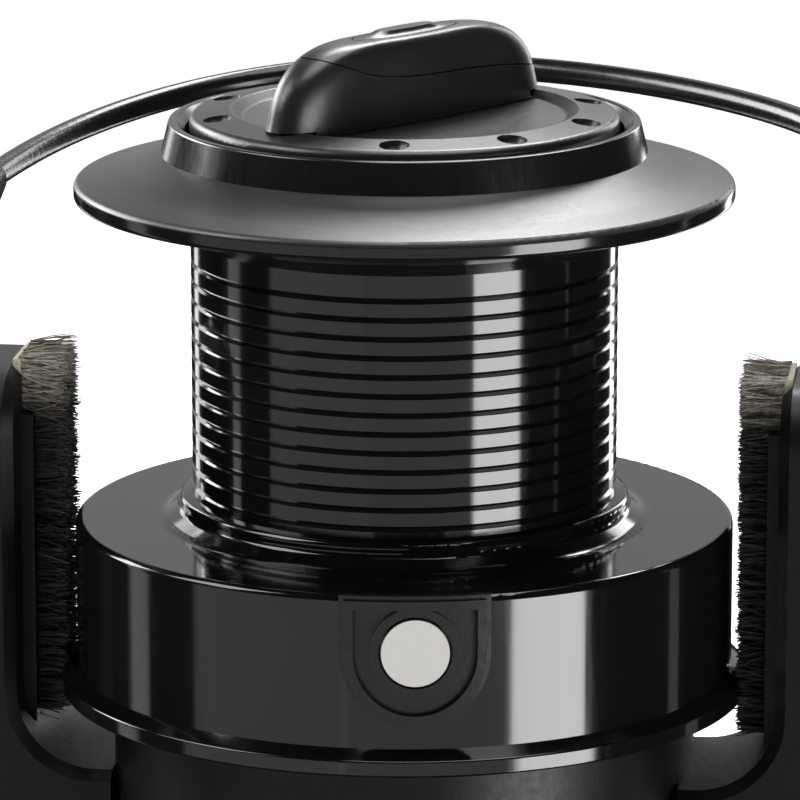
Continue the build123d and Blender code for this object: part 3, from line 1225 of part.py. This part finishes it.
def turned_nodes():
    """Pieces that are drawn with the rotor's arms on the X axis."""
    return {
        "rotor": rotor(), "arm_cover_right": arm_cover(), "arm_cover_left": HALF_TURN * arm_cover(),
        "arm_cover_screws": arm_cover_screws(), "brush_backings": brush_backings(),
        "brush_right": brush(), "brush_left": HALF_TURN * brush(), "bail_spring": bail_spring(),
        "bail_arm": bail_arm(), "bail_lever": bail_lever(), "bail_wire": bail_wire(),
        "wire_cone": wire_cone(), "roller_screw": roller_screw(), "line_roller": line_roller(),
        "pivot_screws": pivot_screws(),
    }


def main():
    """Write one file for each piece."""
    os.makedirs("parts", exist_ok=True)
    for name, shape in steady_nodes().items():
        export_step(TO_ROW * shape, f"parts/{name}.step")
    for name, shape in turned_nodes().items():
        export_step(TO_ROW * TURN * shape, f"parts/{name}.step")


if __name__ == "__main__":
    main()
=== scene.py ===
"""Looks of a long-cast fixed-spool fishing reel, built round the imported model. Metres."""
import json
import random
from math import atan2, cos, pi, radians, sin

import bpy
from mathutils import Matrix, Vector


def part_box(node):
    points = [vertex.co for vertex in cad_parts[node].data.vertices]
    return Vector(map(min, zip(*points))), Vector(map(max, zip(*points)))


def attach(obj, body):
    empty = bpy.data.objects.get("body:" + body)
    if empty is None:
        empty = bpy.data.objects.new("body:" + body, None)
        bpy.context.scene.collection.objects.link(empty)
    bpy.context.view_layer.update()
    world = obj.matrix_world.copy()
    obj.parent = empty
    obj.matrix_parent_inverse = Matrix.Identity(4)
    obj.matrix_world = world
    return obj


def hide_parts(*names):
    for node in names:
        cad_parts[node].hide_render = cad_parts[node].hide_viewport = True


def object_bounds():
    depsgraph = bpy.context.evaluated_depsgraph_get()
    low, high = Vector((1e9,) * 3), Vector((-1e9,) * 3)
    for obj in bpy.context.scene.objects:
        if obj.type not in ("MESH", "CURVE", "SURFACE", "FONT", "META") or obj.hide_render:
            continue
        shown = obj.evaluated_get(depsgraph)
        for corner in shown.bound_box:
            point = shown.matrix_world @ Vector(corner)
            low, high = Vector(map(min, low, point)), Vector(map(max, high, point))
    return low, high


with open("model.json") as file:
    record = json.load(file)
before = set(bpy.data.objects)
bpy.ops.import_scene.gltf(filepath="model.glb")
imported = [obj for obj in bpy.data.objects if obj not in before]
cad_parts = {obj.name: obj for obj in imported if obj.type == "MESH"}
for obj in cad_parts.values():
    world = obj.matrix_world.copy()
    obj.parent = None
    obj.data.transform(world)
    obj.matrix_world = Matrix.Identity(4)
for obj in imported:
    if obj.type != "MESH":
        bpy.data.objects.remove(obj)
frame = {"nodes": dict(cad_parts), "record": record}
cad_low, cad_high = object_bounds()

MM = 0.001

# ---- places read from the model -----------------------------------------------------------------
shaft_low, shaft_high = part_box("main_shaft")
AXIS_X = (shaft_low[0] + shaft_high[0]) / 2
AXIS_Y = (shaft_low[1] + shaft_high[1]) / 2
_, drum_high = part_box("spool_body")
_, lip_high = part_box("spool_lip")
LIP_CONE_RISE = 3.25 * MM      # from the rim's upper edge to the cone's top
LIP_RIM_Z = lip_high[2] - LIP_CONE_RISE
brush_low, brush_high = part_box("brush_right")
joints = frame["record"]["behaviour"]["joints"]
BAIL_AXIS = next(joint["axis"] for joint in joints if joint["name"] == "bail_flip")
ROTOR_TURN = atan2(BAIL_AXIS[1], BAIL_AXIS[0])


PILE_ROOT_R = 42.5 * MM        # the brush pile's painted root shade runs from here
PILE_TIP_R = 37.8 * MM         # to here, measured from the spool's axis
COLLAR_MARKS = 320.0
COLLAR_SLANT = 7000.0          # radians of mark for a metre of height

# ---- nodes for materials ------------------------------------------------------------------------
class Finish:
    """A material under construction: its nodes, with the shader at hand."""

    def __init__(self, name, colour, rough, metal=0.0):
        self.material = bpy.data.materials.new(name)
        self.material.use_nodes = True
        self.tree = self.material.node_tree
        self.shader = self.tree.nodes["Principled BSDF"]
        self.shader.inputs["Base Color"].default_value = (*colour, 1)
        self.shader.inputs["Roughness"].default_value = rough
        self.shader.inputs["Metallic"].default_value = metal
        self.places = self.add("ShaderNodeTexCoord").outputs["Object"]

    def add(self, kind, **values):
        node = self.tree.nodes.new(kind)
        for key, value in values.items():
            setattr(node, key, value)
        return node

    def join(self, source, target):
        self.tree.links.new(source, target)

    def set(self, socket, value):
        self.shader.inputs[socket].default_value = value

    def noise(self, scale, detail=3.0, stretch=(1, 1, 1)):
        """Noise on Object coordinates, stretched along the axes."""
        mapping = self.add("ShaderNodeMapping")
        mapping.inputs["Scale"].default_value = stretch
        self.join(self.places, mapping.inputs["Vector"])
        noise = self.add("ShaderNodeTexNoise")
        noise.inputs["Scale"].default_value = scale
        noise.inputs["Detail"].default_value = detail
        self.join(mapping.outputs["Vector"], noise.inputs["Vector"])
        return noise.outputs["Fac"]

    def spread(self, value, low, high):
        """A 0 to 1 value spread between two limits."""
        node = self.add("ShaderNodeMapRange")
        node.inputs["From Min"].default_value = 0.25
        node.inputs["From Max"].default_value = 0.75
        node.inputs["To Min"].default_value = low
        node.inputs["To Max"].default_value = high
        self.join(value, node.inputs["Value"])
        return node.outputs["Result"]

    def blend(self, value, first, second):
        """The base colour runs between two colours."""
        node = self.add("ShaderNodeMix", data_type="RGBA")
        node.inputs["A"].default_value = (*first, 1)
        node.inputs["B"].default_value = (*second, 1)
        self.join(value, node.inputs["Factor"])
        self.join(node.outputs["Result"], self.shader.inputs["Base Color"])

    def bump(self, height, strength, distance):
        node = self.add("ShaderNodeBump")
        node.inputs["Strength"].default_value = strength
        node.inputs["Distance"].default_value = distance
        self.join(height, node.inputs["Height"])
        self.join(node.outputs["Normal"], self.shader.inputs["Normal"])

    def about_axis(self):
        """Object coordinates counted from the spool's axis, as separate X, Y and Z."""
        mapping = self.add("ShaderNodeMapping")
        mapping.inputs["Location"].default_value = (-AXIS_X, -AXIS_Y, 0)
        self.join(self.places, mapping.inputs["Vector"])
        parts = self.add("ShaderNodeSeparateXYZ")
        self.join(mapping.outputs["Vector"], parts.inputs["Vector"])
        return parts.outputs

    def sum(self, kind, first, second):
        """A Math node on two sockets or numbers."""
        node = self.add("ShaderNodeMath", operation=kind)
        for socket, value in zip(node.inputs, (first, second)):
            if isinstance(value, (int, float)):
                socket.default_value = value
            else:
                self.join(value, socket)
        return node.outputs["Value"]

    def radius(self):
        """Distance from the spool's axis."""
        x, y, _ = self.about_axis()
        squares = self.sum("ADD", self.sum("MULTIPLY", x, x), self.sum("MULTIPLY", y, y))
        return self.sum("SQRT", squares, 0.0)

    def between(self, value, low, high):
        """0 below low, 1 above high."""
        node = self.add("ShaderNodeMapRange")
        node.inputs["From Min"].default_value = low
        node.inputs["From Max"].default_value = high
        self.join(value, node.inputs["Value"])
        return node.outputs["Result"]

    def rough(self, value, low, high):
        self.join(self.spread(value, low, high), self.shader.inputs["Roughness"])


def gloss_black_anodising():
    finish = Finish("gloss_black_anodising", (0.003, 0.003, 0.0035), 0.1)
    finish.set("Specular IOR Level", 0.6)
    finish.rough(finish.noise(900, 2, (1, 1, 0.06)), 0.07, 0.14)
    finish.blend(finish.noise(60), (0.002, 0.002, 0.0024), (0.004, 0.004, 0.0047))
    finish.bump(finish.noise(1500, 2, (1, 1, 0.03)), 0.03, 0.00004)
    return finish.material


def satin_grey_anodising():
    """Blasted grey on the cone's upper face, gloss black on its rim and underneath."""
    finish = Finish("satin_grey_anodising", (0.06, 0.06, 0.06), 0.38, 0.75)
    _, _, z = finish.about_axis()
    upper = finish.between(z, LIP_RIM_Z - 0.5 * MM, LIP_RIM_Z - 0.1 * MM)
    grain = finish.spread(finish.noise(2500, 2), 0.2, 0.28)
    rough = finish.sum("ADD", finish.sum("MULTIPLY", grain, upper), 0.13)
    finish.join(rough, finish.shader.inputs["Roughness"])
    finish.join(finish.sum("MULTIPLY", upper, 0.75), finish.shader.inputs["Metallic"])
    finish.blend(upper, (0.004, 0.004, 0.005), (0.07, 0.07, 0.07))
    finish.bump(finish.sum("MULTIPLY", finish.noise(6000, 2), upper), 0.1, 0.00005)
    return finish.material


def turned_collar():
    """Gloss black with fine slanting tool marks, a set number of them round the axis."""
    finish = Finish("turned_collar", (0.006, 0.006, 0.007), 0.16)
    finish.set("Specular IOR Level", 0.7)
    x, y, z = finish.about_axis()
    turn = finish.sum("MULTIPLY", finish.sum("ARCTAN2", y, x), COLLAR_MARKS)
    slant = finish.sum("SINE", finish.sum("ADD", turn, finish.sum("MULTIPLY", z, COLLAR_SLANT)), 0.0)
    finish.bump(slant, 0.05, 0.00002)
    finish.rough(finish.noise(1500, 2, (1, 1, 0.1)), 0.14, 0.22)
    return finish.material


def matte_black_casting():
    finish = Finish("matte_black_casting", (0.0035, 0.0035, 0.004), 0.42)
    finish.set("Specular IOR Level", 0.25)
    finish.rough(finish.noise(1200), 0.36, 0.48)
    finish.bump(finish.noise(2500), 0.2, 0.0001)
    return finish.material


def satin_black_paint():
    finish = Finish("satin_black_paint", (0.008, 0.008, 0.009), 0.34)
    finish.rough(finish.noise(700), 0.28, 0.4)
    finish.bump(finish.noise(1800), 0.12, 0.0001)
    return finish.material


def satin_knob_plastic():
    finish = Finish("satin_knob_plastic", (0.01, 0.0098, 0.0095), 0.33)
    finish.set("Specular IOR Level", 0.65)
    finish.rough(finish.noise(1600), 0.28, 0.38)
    finish.bump(finish.noise(3200), 0.16, 0.00006)
    return finish.material


def moulded_clip_plastic():
    finish = Finish("moulded_clip_plastic", (0.006, 0.006, 0.0065), 0.3)
    finish.rough(finish.noise(1500), 0.22, 0.34)
    finish.bump(finish.noise(2600), 0.1, 0.00005)
    return finish.material


def satin_black_wire():
    finish = Finish("satin_black_wire", (0.006, 0.006, 0.007), 0.22)
    finish.set("Specular IOR Level", 0.45)
    finish.rough(finish.noise(600, 2), 0.2, 0.25)
    return finish.material


def brushed_silver():
    finish = Finish("brushed_silver", (0.86, 0.84, 0.8), 0.34, 0.85)
    grain = finish.noise(1400, 2, (1, 1, 0.05))
    finish.rough(grain, 0.3, 0.42)
    finish.bump(grain, 0.05, 0.00003)
    return finish.material


def ground_steel():
    finish = Finish("ground_steel", (0.6, 0.6, 0.61), 0.28, 1.0)
    finish.rough(finish.noise(2000, 2, (1, 1, 0.05)), 0.2, 0.36)
    return finish.material


def black_nickel():
    finish = Finish("black_nickel", (0.16, 0.16, 0.17), 0.22, 1.0)
    finish.rough(finish.noise(800), 0.18, 0.28)
    return finish.material


def gear_bronze():
    finish = Finish("gear_bronze", (0.55, 0.42, 0.2), 0.3, 1.0)
    finish.rough(finish.noise(900), 0.24, 0.42)
    return finish.material


def brush_pile():
    """Dark brown bristles, with painted shade making them darker at their roots and paler towards their
    tips, and a painted highlight making the strip's upper end pale.
    """
    finish = Finish("brush_pile", (0.05, 0.042, 0.034), 0.6)
    finish.set("Specular IOR Level", 0.3)
    _, _, z = finish.about_axis()
    # painted shade: bristles coloured darker at their roots deep in the pile and paler towards their tips
    painted_root_shade = finish.between(finish.radius(), PILE_ROOT_R, PILE_TIP_R)
    # painted highlight: the strip's upper end is coloured pale, standing in for the light that falls on it
    # from above
    upper = finish.between(z, brush_high[2] - 7.5 * MM, brush_high[2] - 1.5 * MM)
    speck = finish.noise(1800, 2)
    mix = finish.sum("MULTIPLY", finish.sum("MAXIMUM", finish.sum("MULTIPLY", painted_root_shade, 0.16), upper), speck)
    share = finish.sum("MINIMUM", finish.sum("MULTIPLY", mix, 1.6), 1.0)
    finish.blend(share, (0.012, 0.011, 0.009), (0.4, 0.37, 0.31))
    return finish.material


def brush_tape():
    finish = Finish("brush_tape", (0.5, 0.44, 0.34), 0.85)
    finish.blend(finish.noise(2500), (0.38, 0.33, 0.26), (0.6, 0.54, 0.43))
    finish.bump(finish.noise(3500), 0.5, 0.0002)
    return finish.material


def dense_foam():
    finish = Finish("dense_foam", (0.02, 0.02, 0.02), 0.75)
    finish.blend(finish.noise(1500), (0.012, 0.012, 0.012), (0.03, 0.03, 0.03))
    finish.bump(finish.noise(2200), 0.5, 0.0003)
    return finish.material


def pressed_fibre():
    finish = Finish("pressed_fibre", (0.2, 0.19, 0.17), 0.9)
    finish.blend(finish.noise(1800), (0.12, 0.11, 0.1), (0.28, 0.27, 0.24))
    return finish.material


FINISH_OF_SLOT = {
    "case": satin_black_paint, "rotor_black": matte_black_casting, "anodised": gloss_black_anodising,
    "lip_grey": satin_grey_anodising, "collar": turned_collar, "steel": ground_steel,
    "chrome": satin_black_wire, "gear_metal": gear_bronze, "bronze": gear_bronze, "felt": pressed_fibre,
    "backing": brush_tape, "pile": brush_pile, "knob_plastic": satin_knob_plastic,
    "clip_plastic": moulded_clip_plastic, "handle_metal": satin_black_paint, "grip_foam": dense_foam,
}


def finish_model():
    """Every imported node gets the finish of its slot."""
    made = {}
    for part in frame["record"]["subparts"]:
        slot = part["material_slot"]
        if slot not in made:
            made[slot] = FINISH_OF_SLOT[slot]()
        node = frame["nodes"][part["node"]]
        node.data.materials.clear()
        node.data.materials.append(made[slot])
    silver = brushed_silver()
    for name in ("line_clip_button", "arm_cover_screws", "pivot_screws"):
        frame["nodes"][name].data.materials[0] = silver
    nickel = black_nickel()
    for name in ("line_roller", "roller_screw"):
        frame["nodes"][name].data.materials[0] = nickel
    return made


# ---- brush strips -------------------------------------------------------------------------------
BRISTLE_LENGTH = 5.5 * MM
BRISTLE_ROOT_R = 0.1 * MM
BRISTLE_TIP_R = 0.06 * MM
BRISTLE_BOW = 0.18 * MM
BRISTLES = 15                  # in one tuft
BRISTLE_LEAN = 19              # degrees, at most
TUFT_KINDS = 5
TUFT_HALF = 0.3 * MM
TUFT_PITCH = 0.86 * MM
TUFT_STRAY = 0.2 * MM
STRIP_HALF = 4.1 * MM
STRIP_HEIGHT = brush_high[2] - brush_low[2]
ROOT_SINK = 0.2 * MM           # the pile's roots stand this deep in the backing
CORE_SHARE = 0.6               # of a bristle's length
CORE_EDGE = 0.6 * MM


def alone(piece):
    """Selects one object and makes it active."""
    bpy.ops.object.select_all(action="DESELECT")
    piece.select_set(True)
    bpy.context.view_layer.objects.active = piece


def own_copy(piece, place):
    """A copy with its own mesh, moved by a matrix."""
    twin = piece.copy()
    twin.data = piece.data.copy()
    twin.matrix_world = place
    bpy.context.collection.objects.link(twin)
    return twin


def joined(pieces, name):
    """Several objects made one, with its place in its mesh."""
    bpy.ops.object.select_all(action="DESELECT")
    for piece in pieces:
        piece.select_set(True)
    bpy.context.view_layer.objects.active = pieces[0]
    bpy.ops.object.join()
    bpy.ops.object.transform_apply(location=True, rotation=True, scale=True)
    bpy.context.object.name = name
    return bpy.context.object


def bristle():
    """One thin bristle standing on the XY plane, bowed sideways at its middle."""
    bpy.ops.object.select_all(action="DESELECT")
    bpy.ops.mesh.primitive_cone_add(vertices=3, radius1=BRISTLE_ROOT_R, radius2=BRISTLE_TIP_R,
                                    depth=BRISTLE_LENGTH, location=(0, 0, BRISTLE_LENGTH / 2))
    piece = bpy.context.object
    bpy.ops.object.transform_apply(location=True, rotation=True, scale=True)
    bpy.ops.object.mode_set(mode="EDIT")
    bpy.ops.mesh.select_all(action="SELECT")
    bpy.ops.mesh.bisect(plane_co=(0, 0, BRISTLE_LENGTH * 0.55), plane_no=(0, 0, 1))
    bpy.ops.transform.translate(value=(BRISTLE_BOW, 0, 0))
    bpy.ops.object.mode_set(mode="OBJECT")
    return piece


def tuft(chance):
    """Leaning bristles that share one root."""
    first = bristle()
    stems = []
    for _ in range(BRISTLES):
        lean = Matrix.Rotation(radians(chance.uniform(0, BRISTLE_LEAN)), 4, "X")
        turn = Matrix.Rotation(chance.uniform(0, 2 * pi), 4, "Z")
        spin = Matrix.Rotation(chance.uniform(0, 2 * pi), 4, "Z")
        grow = Matrix.Diagonal((1, 1, chance.uniform(0.88, 1.03), 1))
        spot = Matrix.Translation((chance.uniform(-1, 1) * TUFT_HALF, chance.uniform(-1, 1) * TUFT_HALF, 0))
        stems.append(own_copy(first, spot @ turn @ lean @ spin @ grow))
    bpy.data.objects.remove(first)
    return joined(stems, "tuft")


def pile_core():
    """The dense foot of the pile, uneven on top, that the tufts stand in."""
    bpy.ops.object.select_all(action="DESELECT")
    deep = BRISTLE_LENGTH * CORE_SHARE
    bpy.ops.mesh.primitive_cube_add(size=1, location=(0, STRIP_HEIGHT / 2, deep / 2),
                                    scale=(2 * STRIP_HALF, STRIP_HEIGHT - 0.8 * MM, deep))
    core = bpy.context.object
    bpy.ops.object.transform_apply(location=True, rotation=True, scale=True)
    bpy.ops.object.mode_set(mode="EDIT")
    bpy.ops.mesh.select_all(action="SELECT")
    bpy.ops.mesh.bevel(offset=CORE_EDGE, segments=2)
    bpy.ops.mesh.select_all(action="SELECT")
    bpy.ops.mesh.subdivide(number_cuts=9)
    bpy.ops.transform.vertex_random(offset=0.1 * MM, uniform=0.5, seed=4)
    bpy.ops.object.mode_set(mode="OBJECT")
    return core


def brush_strip(name, turned, stands_for, chance):
    """A strip of tufts on one arm, pointing at the spool; turned is 0 or half a turn."""
    kinds = [tuft(chance) for _ in range(TUFT_KINDS)]
    pieces = [pile_core()]
    across = int(2 * STRIP_HALF / TUFT_PITCH)
    along = int(STRIP_HEIGHT / TUFT_PITCH)
    for row in range(along + 1):
        for column in range(across + 1):
            x = (column / across * 2 - 1) * STRIP_HALF + chance.uniform(-1, 1) * TUFT_STRAY
            y = row / along * STRIP_HEIGHT + chance.uniform(-1, 1) * TUFT_STRAY
            fan = Matrix.Rotation(radians(5 * x / STRIP_HALF + chance.uniform(-5, 5)), 4, "Y")
            ends = (y / STRIP_HEIGHT * 2 - 1) ** 5
            droop = Matrix.Rotation(radians(6 * ends + chance.uniform(-6, 6)), 4, "X")
            spin = Matrix.Rotation(chance.uniform(0, 2 * pi), 4, "Z")
            grow = Matrix.Diagonal((1, 1, chance.uniform(0.93, 1.02), 1))
            place = Matrix.Translation((x, y, 0)) @ fan @ droop @ spin @ grow
            pieces.append(own_copy(chance.choice(kinds), place))
    for kind in kinds:
        bpy.data.objects.remove(kind)
    strip = joined(pieces, name)
    angle = ROTOR_TURN + turned
    root = (brush_high[0] - AXIS_X) / cos(ROTOR_TURN) - ROOT_SINK
    toward = Matrix(((sin(angle), 0, -cos(angle), AXIS_X + root * cos(angle)),
                     (-cos(angle), 0, -sin(angle), AXIS_Y + root * sin(angle)),
                     (0, 1, 0, brush_low[2]), (0, 0, 0, 1)))
    strip.matrix_world = toward
    alone(strip)
    bpy.ops.object.transform_apply(location=True, rotation=True, scale=True)
    bpy.ops.object.mode_set(mode="EDIT")
    bpy.ops.mesh.select_all(action="SELECT")
    bpy.ops.mesh.normals_make_consistent(inside=False)
    bpy.ops.object.mode_set(mode="OBJECT")
    strip.data.materials.clear()
    strip.data.materials.append(finishes["pile"])
    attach(strip, "rotor_body")
    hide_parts(stands_for)
    return strip


# ---- studio -------------------------------------------------------------------------------------
def softbox(name, place, size, power, aim, colour=(1, 1, 1)):
    """A rectangular lamp at a place, aimed at a point."""
    lamp = bpy.data.lights.new(name, "AREA")
    lamp.shape = "RECTANGLE"
    lamp.size, lamp.size_y = size
    lamp.energy = power
    lamp.color = colour
    holder = bpy.data.objects.new(name, lamp)
    bpy.context.collection.objects.link(holder)
    holder.location = place
    holder.rotation_euler = (Vector(aim) - Vector(place)).to_track_quat("-Z", "Y").to_euler()
    return holder


def about_spool(azimuth, distance, height):
    """A point round the spool; azimuth 0 is towards the viewer and 90 to the viewer's right."""
    angle = radians(azimuth)
    return (AXIS_X + distance * sin(angle), AXIS_Y - distance * cos(angle), height)


def studio():
    """White table, a bright box to the front right, dim panels at the front and left, and boxes behind."""
    middle = (AXIS_X, AXIS_Y, 0.06)
    softbox("right_front_box", about_spool(50, 0.75, -0.09), (0.36, 0.55), 6.6, middle)
    softbox("front_panel", about_spool(8, 0.85, -0.1), (0.9, 0.55), 0.9, middle)
    softbox("front_left_panel", about_spool(-48, 0.85, -0.1), (0.9, 0.55), 1.0, middle)
    softbox("left_panel", about_spool(-103, 0.7, 0.0), (0.12, 0.7), 0.25, middle)
    softbox("left_upper_panel", about_spool(-125, 0.7, 0.35), (0.5, 0.3), 5.0, middle)
    softbox("left_back_strip", about_spool(-150, 0.7, 0.06), (0.1, 0.9), 0.7, middle)
    softbox("right_back_strip", about_spool(150, 0.7, 0.06), (0.1, 0.9), 1.6, middle)
    softbox("left_high_box", about_spool(-80, 0.6, 0.62), (0.4, 0.4), 3.0, middle)
    softbox("back_sheet", about_spool(180, 1.1, 0.36), (2.2, 0.6), 2.0, (AXIS_X, AXIS_Y, lip_high[2]))
    softbox("back_high_box", about_spool(167, 0.55, 0.66), (0.32, 0.3), 4.2, (AXIS_X, AXIS_Y, lip_high[2]))
    softbox("top_box", (AXIS_X + 0.1, AXIS_Y, 0.9), (0.6, 0.5), 4.0, (AXIS_X, AXIS_Y, lip_high[2]))
    bpy.ops.mesh.primitive_plane_add(size=8, location=(0, 0, cad_low[2] - 0.002))
    table = bpy.context.object
    table.name = "table"
    finish = Finish("white_table", (0.95, 0.95, 0.95), 0.9)
    finish.blend(finish.noise(3), (0.94, 0.94, 0.94), (0.96, 0.96, 0.96))
    finish.set("Emission Color", (1, 1, 1, 1))
    finish.set("Emission Strength", 0.9)
    table.data.materials.append(finish.material)
    table.visible_glossy = False
    world = bpy.data.worlds.new("room")
    bpy.context.scene.world = world
    world.use_nodes = True
    world.node_tree.nodes["Background"].inputs["Color"].default_value = (0.015, 0.015, 0.015, 1)
    bpy.context.scene.view_settings.view_transform = "Standard"


def viewer():
    """Long lens, a little above the spool."""
    distance, lens, lift = 658.5 * MM, 259.1, radians(13.08)
    aim = Vector((AXIS_X - 0.51 * MM, AXIS_Y, drum_high[2] - 19.5 * MM))
    data = bpy.data.cameras.new("viewer")
    data.lens = lens
    data.sensor_width = 36
    data.clip_start = 0.01
    camera = bpy.data.objects.new("viewer", data)
    bpy.context.collection.objects.link(camera)
    camera.location = aim + Vector((0, -distance * cos(lift), distance * sin(lift)))
    camera.rotation_euler = (pi / 2 - lift, 0, 0)
    bpy.context.scene.camera = camera


bpy.ops.object.select_all(action="DESELECT")
finishes = finish_model()
chance = random.Random(7)
brush_strip("brush_pile_right", 0.0, "brush_right", chance)
brush_strip("brush_pile_left", pi, "brush_left", chance)
viewer()
studio()
